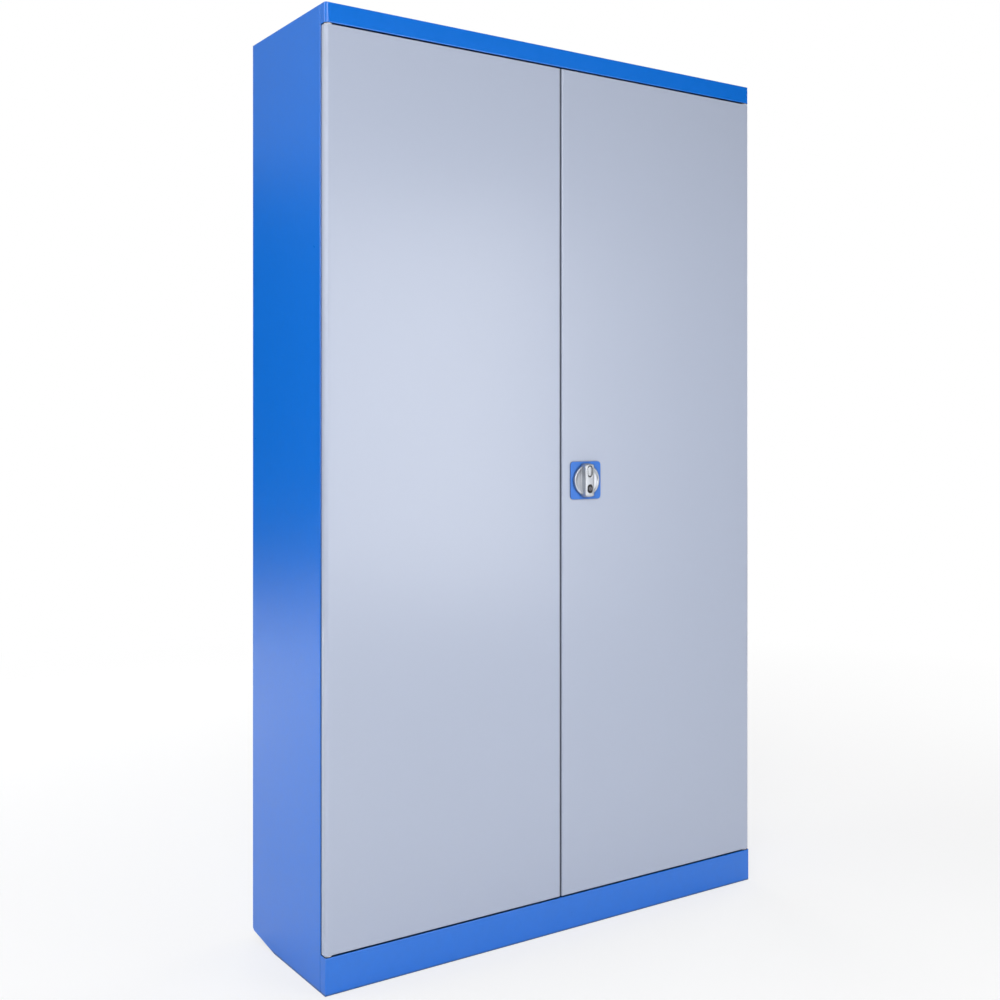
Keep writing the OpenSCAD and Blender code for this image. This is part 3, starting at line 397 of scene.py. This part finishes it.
def cut(obj, cutter):
    """Takes the cutter's space out of the object for good."""
    change = obj.modifiers.new("cut", "BOOLEAN")
    change.operation = "DIFFERENCE"
    change.solver = "EXACT"
    change.object = cutter
    while obj.modifiers[0] != change:
        obj.modifiers.move(len(obj.modifiers) - 1, 0)
    graph = bpy.context.evaluated_depsgraph_get()
    others = [m for m in obj.modifiers if m != change]
    for modifier in others:
        modifier.show_viewport = False
    graph.update()
    mesh = bpy.data.meshes.new_from_object(obj.evaluated_get(graph))
    obj.modifiers.remove(change)
    for modifier in others:
        modifier.show_viewport = True
    obj.data = mesh
    bpy.data.objects.remove(cutter)


def prism(outline, y0, y1):
    """A straight bar along y over an outline of x and z."""
    mesh = bmesh.new()
    front = [mesh.verts.new((x, y0, z)) for x, z in outline]
    back = [mesh.verts.new((x, y1, z)) for x, z in outline]
    mesh.faces.new(front)
    mesh.faces.new(list(reversed(back)))
    for i in range(len(outline)):
        j = (i + 1) % len(outline)
        mesh.faces.new((front[j], front[i], back[i], back[j]))
    bmesh.ops.recalc_face_normals(mesh, faces=mesh.faces)
    data = bpy.data.meshes.new("cutter")
    mesh.to_mesh(data)
    mesh.free()
    return add_object("cutter", data)


# ---------------------------------------------------------------- handle

# Profiles in millimetres, from the outside in. The disc: distance from the axis, and height over the plate
DISC = [(34.75, 0.0), (34.70, 4.5), (34.45, 5.3), (33.95, 5.8), (33.2, 6.0),    # outside and rolled rim
        (31.5, 6.0), (30.8, 5.8), (30.3, 5.3), (29.9, 4.7), (29.3, 4.2),        # over the rim
        (28.3, 3.8), (26.5, 3.35), (24.0, 2.95), (20.0, 2.65), (14.0, 2.5)]     # and down into the dish
# The grip bar: inset from its outline, and height. Its foot flares out into the dish
BAR_FOOT = [(-2.2, 2.4), (-1.3, 2.75), (-0.6, 3.4), (-0.15, 4.3)]
BAR = [(0.25, 6.0), (0.65, 12.4), (0.8, 13.6), (1.15, 14.5), (1.75, 15.2), (2.5, 15.6), (3.4, 15.75)]
EDGE_INSET, EDGE_H = BAR[-1]    # where the bar's face begins

# The rest of the handle, in millimetres
GRIP_HALF_W = 13.5
GRIP_HALF_L = 37.5
GRIP_CORNER = 22         # power of the bar's outline: the higher, the smaller its corners
FOOT_LIMIT = 33.0        # the bar's foot ends at this distance from the axis
FOOT_FADE = 5.0          # and fades out over this length before it
CAP_CROWN = 0.25         # arch of the bar's face
CROWN_RISE = 4           # the higher, the faster the arch rises from the bar's ends
HANDLE_H = EDGE_H + CAP_CROWN
HUB_R = 10.0
SPINDLE_SEAT = 4.15      # half of the square hole, with the spindle's clearance
FIT = 0.15               # clearance of the key plug and the blocking pin
COLUMNS = 208            # around the handle, a multiple of 4
FACE_COLUMNS = 7         # from the middle of the bar's face to its edge
FACE_STEPS = (0.3, 0.65, 1.0)    # rows of the bar's face: shares of the way from its edge to an oval in it

# Holes at the handle's back, in metres
DRILL_OVERLAP = 0.001    # of the pin's hole with the key plug's bore
DRILL_EXIT = 0.002       # past the face that a hole comes out of
SEAT_GAP = 0.0002        # between the spindle's front and the floor of its seat

# Oval frame at the top of the bar: a black groove around a pad
BADGE_Z = 20.5
BADGE_HALF_W = 7
BADGE_HALF_L = 13
BADGE_LIP = [(0.1, 15.9)]
BADGE_GROOVE = [(0.25, 15.45), (0.5, 15.3), (1.8, 15.3), (2.05, 15.45)]
BADGE_PAD = [(2.2, 15.8), (2.6, 15.95), (4.5, 16.0)]

# Key bezel at the bottom of the bar, in its pocket
KEY_Z = -18.5
BEZEL_HALF_W = 7
BEZEL_HALF_L = 10
BEZEL_FIT = 0.1          # clearance of the bezel in its pocket
POCKET_FLOOR = 12.0
PLUG_GAP = 0.1           # between the key plug's end and the floor of its bore
FUNNEL_R = 5.1
FUNNEL_END_R = 4.7
BEZEL_BORE_R = 4.65


def read_profile(points, at):
    """Height of a profile at a distance, or -1 outside it. Its points run from the outside in."""
    if at > points[0][0]:
        return -1.0
    for (x0, h0), (x1, h1) in zip(points, points[1:]):
        if at >= x1:
            return h0 if x0 == x1 else h1 + (h0 - h1) * (at - x1) / (x0 - x1)
    return points[-1][1]


def bar_reach(angle, inset):
    """Distance from the axis to the grip bar's outline in millimetres, at an angle from the x axis."""
    side = (GRIP_HALF_W - inset) / max(abs(math.cos(angle)), 1e-6)
    end = GRIP_HALF_L - inset
    return (side ** -GRIP_CORNER + end ** -GRIP_CORNER) ** (-1 / GRIP_CORNER)


def turn_angles(count):
    """Angles around the handle, alike in its four quarters and denser where the bar's outline is far out."""
    fine = 3600          # steps around, with which the outline is walked
    least_walk = 0.03    # mm counted for each step, so that no stretch stays without angles
    steps = [math.radians(360 / fine) * (i + 0.5) for i in range(fine)]
    spots = [(bar_reach(a, 0) * math.cos(a), bar_reach(a, 0) * math.sin(a)) for a in steps]
    walk = [0.0]
    for (x0, z0), (x1, z1) in zip(spots, spots[1:] + spots[:1]):
        walk.append(walk[-1] + math.hypot(x1 - x0, z1 - z0) + least_walk)
    quarter = walk[fine // 4]
    angles = []
    step = 0
    for i in range(count // 4):
        while walk[step + 1] <= quarter * i / (count // 4):
            step += 1
        angles.append(step * math.pi * 2 / fine)
    half = angles + [math.pi / 2] + [math.pi - a for a in reversed(angles[1:])]
    return half + [a + math.pi for a in half]


def crown(x, z):
    """Height of the bar's slightly arched face. The arch runs out towards the bar's ends."""
    across = max(0.0, 1 - (x / (GRIP_HALF_W - EDGE_INSET)) ** 2)
    along = max(0.0, 1 - (z / (GRIP_HALF_L - EDGE_INSET)) ** 2)
    return EDGE_H + CAP_CROWN * across * min(1.0, along * CROWN_RISE)


def handle_column(angle):
    """The handle's surface along one radius: pairs of distance and height, from the outside in."""
    room = min(1.0, max(0.0, (FOOT_LIMIT - bar_reach(angle, 0)) / FOOT_FADE))
    foot = room * room * (3 - 2 * room)    # how much of the bar's foot there is here
    profile = [(inset * foot, height * foot) for inset, height in BAR_FOOT] + BAR
    bar = [(bar_reach(angle, inset), height) for inset, height in profile]
    last = bar[-1][0]
    places = sorted([r for r, height in bar] + [max(r, last) for r, height in DISC], reverse=True)
    return [(r, max(read_profile(bar, r), read_profile(DISC, r), 0.0)) for r in places]


def handle_rows(angles):
    """The surface from the disc's outer edge up to the edge of the bar's face, as rows around the axis."""
    rows = []
    for row in zip(*[handle_column(a) for a in angles]):
        rows.append([(r * math.cos(a), r * math.sin(a), height) for (r, height), a in zip(row, angles)])
    return rows


def cap_half(shell, loop, centre_z, half_w, half_l):
    """Joins half of the bar's face to the edge of an oval in it. Returns the oval's loop and its angles."""
    flat = [((v.co.x - shell.axis[0]) / MM, (v.co.z - shell.axis[1]) / MM) for v in loop]
    angles = [math.atan2(z - centre_z, x) for x, z in flat]
    edge = oval_rows(centre_z, half_w, half_l, angles, [(0, 0)])[0]
    for share in FACE_STEPS:
        row = []
        for (x0, z0), (x1, z1, height) in zip(flat, edge):
            x, z = x0 + (x1 - x0) * share, z0 + (z1 - z0) * share
            row.append((x, z, crown(x, z)))
        loop = shell.rings(loop, [row])
    return loop, angles


def add_badge(shell, top):
    """Oval frame in the upper half of the bar's face: a black groove around a plain pad."""
    loop, angles = cap_half(shell, top, BADGE_Z, BADGE_HALF_W, BADGE_HALF_L)
    for ink, steps in ((0, BADGE_LIP), (1, BADGE_GROOVE), (0, BADGE_PAD)):
        shell.ink = ink
        loop = shell.rings(loop, oval_rows(BADGE_Z, BADGE_HALF_W, BADGE_HALF_L, angles, steps))
    shell.close(loop)


def add_key_pocket(shell, bottom):
    """Pocket of the key bezel in the lower half of the bar's face, and the bore of the key plug behind it."""
    low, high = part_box("key_plug")
    plug_r = (high[0] - low[0]) / 2 / MM + FIT
    plug_end = (shell.back_y - high[1]) / MM - PLUG_GAP
    half_w, half_l = BEZEL_HALF_W + BEZEL_FIT, BEZEL_HALF_L + BEZEL_FIT
    loop, angles = cap_half(shell, bottom, KEY_Z, half_w, half_l)
    loop = shell.rings(loop, oval_rows(KEY_Z, half_w, half_l, angles, [(0.0, POCKET_FLOOR)]))
    shell.close(shell.rings(loop, circle_rows(KEY_Z, angles, [(plug_r, POCKET_FLOOR), (plug_r, plug_end)])))


def drill_pin_hole(handle, back_y):
    """Round hole of the blocking pin, from the key plug's bore to the handle's back."""
    low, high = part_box("blocking_pin")
    _, plug_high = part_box("key_plug")
    x, z = axis_of(low, high)
    radius = (high[0] - low[0]) / 2 + FIT * MM
    turns = [i * math.pi / 12 for i in range(24)]
    outline = [(x + radius * math.cos(a), z + radius * math.sin(a)) for a in turns]
    cut(handle, prism(outline, plug_high[1] - DRILL_OVERLAP, back_y + DRILL_EXIT))


def drill_spindle_seat(handle, axis, hub_end):
    """Square blind hole of the spindle in the handle's hub."""
    low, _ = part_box("handle_spindle")
    half = SPINDLE_SEAT * MM
    outline = [(axis[0] + half * i, axis[1] + half * j) for i, j in CORNERS]
    cut(handle, prism(outline, low[1] - SEAT_GAP, hub_end + DRILL_EXIT))


def make_handle():
    """Dished disc with a raised grip bar, an oval frame left bare at the top and the key's pocket below."""
    low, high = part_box("turn_handle")
    axis = axis_of(low, high)
    back_y = low[1] + HANDLE_H * MM
    shell = Shell(axis, back_y)
    angles = turn_angles(COLUMNS)
    rows = handle_rows(angles)
    outer = shell.loop(rows[0])
    edge = shell.rings(outer, rows[1:])

    # the bar's face, in two halves with a row of points between them
    half = len(edge) // 2
    across = [i * (GRIP_HALF_W - EDGE_INSET) / FACE_COLUMNS for i in range(1 - FACE_COLUMNS, FACE_COLUMNS)]
    dividing = [shell.point(x, 0, crown(x, 0)) for x in across]
    add_badge(shell, edge[:half + 1] + dividing)
    add_key_pocket(shell, edge[half:] + edge[:1] + dividing[::-1])

    # the back, with the hub that goes through the door
    hub_end = (back_y - high[1]) / MM
    shell.close(shell.rings(outer, circle_rows(0, angles, [(HUB_R, 0.0), (HUB_R, hub_end)])))
    handle = shell.finish("handle_body", "handle_metal", "handle", ink="black_plastic")
    drill_pin_hole(handle, back_y)
    drill_spindle_seat(handle, axis, high[1])
    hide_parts("turn_handle")


def make_bezel():
    """Moulded oval ring around the key plug, with a rolled edge and a shallow funnel."""
    low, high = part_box("key_bezel")
    shell = Shell(axis_of(low, high), high[1])
    tall = (high[1] - low[1]) / MM
    angles = [math.pi * i / 48 for i in range(96)]
    outside = [(0.0, 0.0), (0.0, tall - 0.6), (0.1, tall - 0.3)]
    rim = [(0.35, tall - 0.08), (0.8, tall), (1.2, tall - 0.02)]
    rows = oval_rows(0, BEZEL_HALF_W, BEZEL_HALF_L, angles, outside + rim)
    # from the oval rim to the round mouth of the funnel: share of the way, and depth below the rim
    oval = rows[-1]
    mouth = circle_rows(0, angles, [(FUNNEL_R, 0)])[0]
    for share, drop in ((0.5, 0.12), (0.8, 0.3)):
        rows.append([(x0 + (x1 - x0) * share, z0 + (z1 - z0) * share, tall - drop)
                     for (x0, z0, h0), (x1, z1, h1) in zip(oval, mouth)])
    funnel = [(FUNNEL_R, tall - 0.5), (FUNNEL_END_R, tall - 0.8)]
    bore = [(BEZEL_BORE_R, tall - 1.2), (BEZEL_BORE_R, 0.0)]
    rows += circle_rows(0, angles, funnel + bore)
    first = shell.loop(rows[0])
    last = shell.rings(first, rows[1:])
    shell.join(last, first)
    bezel = shell.finish("bezel_ring", "black_plastic", "handle")
    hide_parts("key_bezel")


# ---------------------------------------------------------------- studio

# Floor, in metres: half its side, and where it fades to white
FLOOR_HALF = 7.0
FLOOR_FADE_FROM = 1.2
FLOOR_FADE_TO = 4.0
FLOOR_NEAR_SHARE = 0.70    # share of white before it fades
FLOOR_CLOUDS = 2.0         # scale of its noise
FLOOR_UNEVEN = 0.005

MIDDLE = (0, 0, 1.0)    # of the cabinet

# Height on the sky's unit sphere, and grey
SKY = [(0.15, 0.005), (0.35, 0.02), (0.75, 0.14)]

# Name, place, point that it faces, size in metres and power in watts
LIGHTS = [
    ("key", (1.50, -2.77, 1.12), (-0.20, -0.18, 1.12), (1.4, 1.7), 10),
    ("key_near", (0.47, -1.87, 1.22), (-0.45, -0.18, 1.18), (1.1, 1.4), 12),
    ("front_high", (-2.2, -3.0, 3.0), (-0.2, -0.2, 1.2), (1.6, 1.6), 39),
    ("front_near", (-2.3, -2.0, 1.6), (-0.2, -0.2, 1.3), (1.2, 1.2), 30),
    ("rim_left", (-3.6, 1.2, 2.6), (-0.5, 0, 1.0), (1.8, 1.8), 32),
    ("side_near", (-2.1, -0.1, 1.2), (-0.5, 0, 1.2), (1.0, 1.0), 3),
    ("side_sheen", (-2.2, 3.5, 3.2), (-0.5, 0, 1.7), (2.4, 1.6), 4),
    ("fill_right", (3.4, 0.6, 1.8), (0.5, 0, 1.0), (2.0, 2.0), 36),
    ("rear", (0.6, 3.6, 1.9), MIDDLE, (2.4, 2.0), 60),
    ("top", (0.3, 0.4, 4.2), MIDDLE, (2.4, 2.4), 24),
    ("floor_far", (-2.6, 3.2, 3.4), (-2.6, 3.2, 0), (1.6, 1.6), 42),
]
FLOOR_FAR_SPREAD = math.radians(100)


def make_lights():
    """Soft boxes around the cabinet."""
    for name, at, look_at, size, power in LIGHTS:
        data = bpy.data.lights.new(name, "AREA")
        data.shape = "RECTANGLE"
        data.size, data.size_y = size
        data.energy = power
        light = add_object(name, data)
        light.location = at
        light.rotation_euler = (Vector(look_at) - Vector(at)).to_track_quat("-Z", "Y").to_euler()
    bpy.data.lights["floor_far"].spread = FLOOR_FAR_SPREAD


def mix_for_camera(tree, share, seen_else, seen_by_camera, out):
    """Ends a tree in one shader, mixed with another by share where a ray comes from the camera."""
    mix = tree.nodes.new("ShaderNodeMixShader")
    tree.links.new(share, mix.inputs[0])
    tree.links.new(seen_else, mix.inputs[1])
    tree.links.new(seen_by_camera, mix.inputs[2])
    tree.links.new(mix.outputs["Shader"], out.inputs["Surface"])


def make_floor():
    """A plain floor, nearly white. The camera sees it paler than the object does."""
    corners = [(x * FLOOR_HALF, y * FLOOR_HALF, 0) for x, y in CORNERS]
    mesh = bpy.data.meshes.new("floor")
    mesh.from_pydata(corners, [], [(0, 1, 2, 3)])
    floor = add_object("floor", mesh)
    material, tree, shader = new_material("floor_white")
    mesh.materials.append(material)
    clouds = grain(tree, FLOOR_CLOUDS)
    tree.links.new(tint(tree, clouds, FLOOR_WHITE, FLOOR_UNEVEN), shader.inputs["Base Color"])
    shader.inputs["Roughness"].default_value = 0.9
    pale = add_node(tree, "ShaderNodeEmission", Color=WHITE, Strength=1.0)
    # the share of pale grows with the distance from the object
    place = tree.nodes.new("ShaderNodeTexCoord")
    reach = tree.nodes.new("ShaderNodeVectorMath")
    reach.operation = "LENGTH"
    fade = map_range(tree, reach.outputs["Value"], FLOOR_FADE_FROM, FLOOR_FADE_TO, FLOOR_NEAR_SHARE, 1.0)
    fade.interpolation_type = "SMOOTHSTEP"
    rays = tree.nodes.new("ShaderNodeLightPath")
    share = tree.nodes.new("ShaderNodeMath")
    share.operation = "MULTIPLY"
    tree.links.new(place.outputs["Object"], reach.inputs[0])
    tree.links.new(rays.outputs["Is Camera Ray"], share.inputs[0])
    tree.links.new(fade.outputs["Result"], share.inputs[1])
    mix_for_camera(tree, share.outputs[0], shader.outputs["BSDF"], pale.outputs["Emission"],
                   tree.nodes["Material Output"])


def make_world():
    """White behind the object. What lights and mirrors in it is dark at the horizon and grey overhead."""
    world = bpy.data.worlds.new("studio")
    bpy.context.scene.world = world
    world.use_nodes = True
    tree = world.node_tree
    tree.nodes.clear()
    place = tree.nodes.new("ShaderNodeTexCoord")
    split = tree.nodes.new("ShaderNodeSeparateXYZ")
    ramp = tree.nodes.new("ShaderNodeValToRGB")
    stops = ramp.color_ramp.elements
    stops[0].position, stops[1].position = SKY[0][0], SKY[-1][0]
    stops.new(SKY[1][0])
    for stop, (height, grey) in zip(stops, SKY):
        stop.color = (grey, grey, grey, 1)
    sky = add_node(tree, "ShaderNodeBackground", Strength=1.0)
    white = add_node(tree, "ShaderNodeBackground", Color=WHITE, Strength=1.0)
    rays = tree.nodes.new("ShaderNodeLightPath")
    out = tree.nodes.new("ShaderNodeOutputWorld")
    tree.links.new(place.outputs["Generated"], split.inputs["Vector"])
    tree.links.new(split.outputs["Z"], ramp.inputs["Fac"])
    tree.links.new(ramp.outputs["Color"], sky.inputs["Color"])
    from_camera = rays.outputs["Is Camera Ray"]
    mix_for_camera(tree, from_camera, sky.outputs["Background"], white.outputs["Background"], out)


def make_camera():
    """The photograph's camera, level, with its frame shifted down."""
    data = bpy.data.cameras.new("camera")
    data.sensor_width = CAMERA_SENSOR
    data.lens = CAMERA_LENS
    data.shift_y = CAMERA_SHIFT_Y
    camera = add_object("camera", data)
    camera.location = CAMERA_AT
    camera.rotation_euler = (math.radians(90), 0, -math.radians(CAMERA_YAW))
    bpy.context.scene.camera = camera


bpy.context.scene.view_settings.view_transform = "Standard"
dress_cad_nodes()
make_handle()
make_bezel()
make_floor()
make_world()
make_lights()
make_camera()
